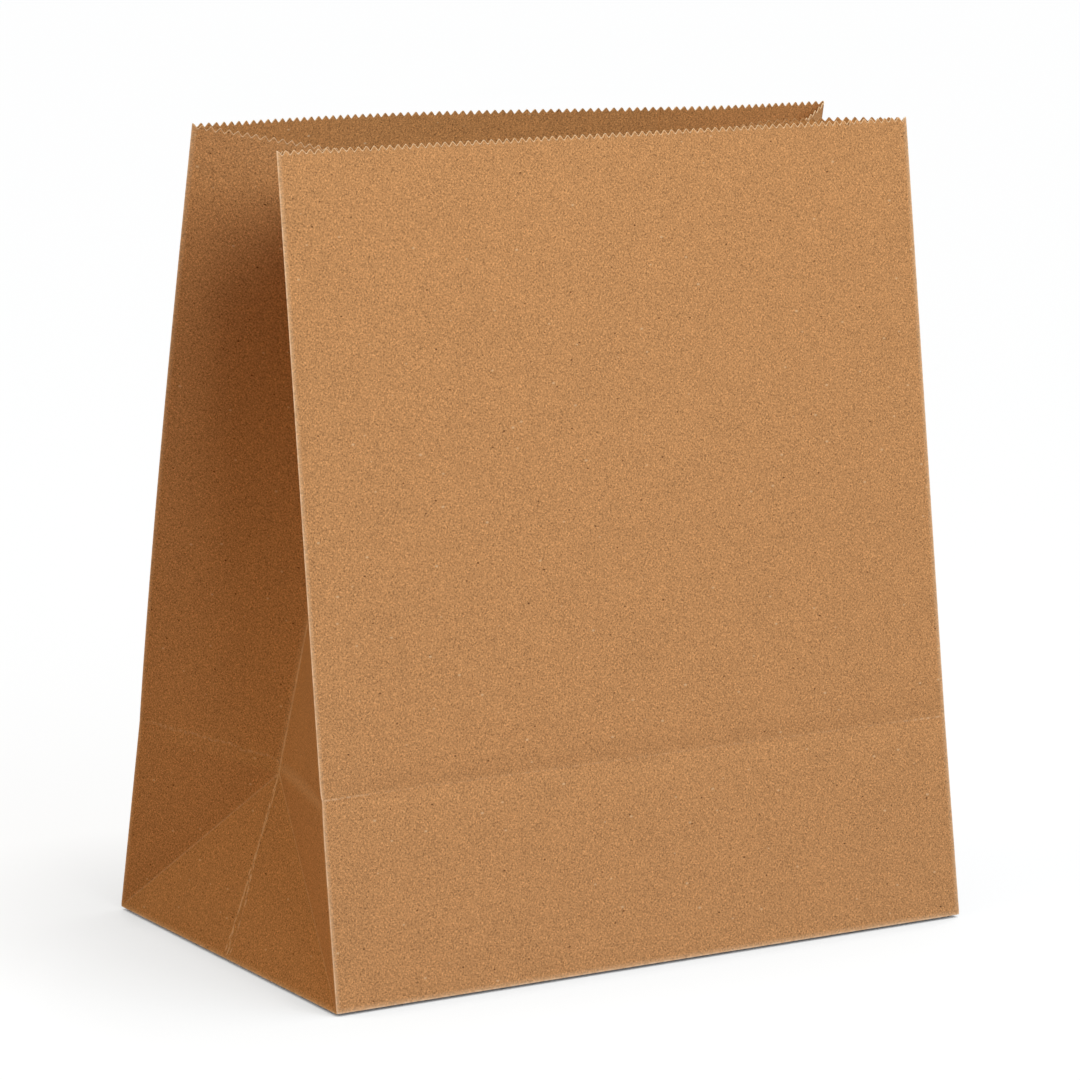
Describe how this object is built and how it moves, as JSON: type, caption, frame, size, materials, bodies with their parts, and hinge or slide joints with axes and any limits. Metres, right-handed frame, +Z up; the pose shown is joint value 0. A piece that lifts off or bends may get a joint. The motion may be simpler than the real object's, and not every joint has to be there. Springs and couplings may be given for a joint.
{
  "type": "paper lunch bag",
  "caption": "Open brown kraft paper lunch bag with a square folded bottom, pinked mouth and side gussets, for carrying a packed lunch.",
  "frame": {"origin": "middle of the flat bottom's outline, on the surface it stands on", "axes": "+Z up towards the open mouth, -Y towards the front panel, +X to the right seen from the front"},
  "size_m": [0.23, 0.127, 0.2478],
  "materials": {
    "kraft_paper": "uncoated brown kraft, matt, with fine fibre mottling"
  },
  "bodies": {
    "root": {"paper_bag": "kraft_paper"}
  },
  "joints": []
}
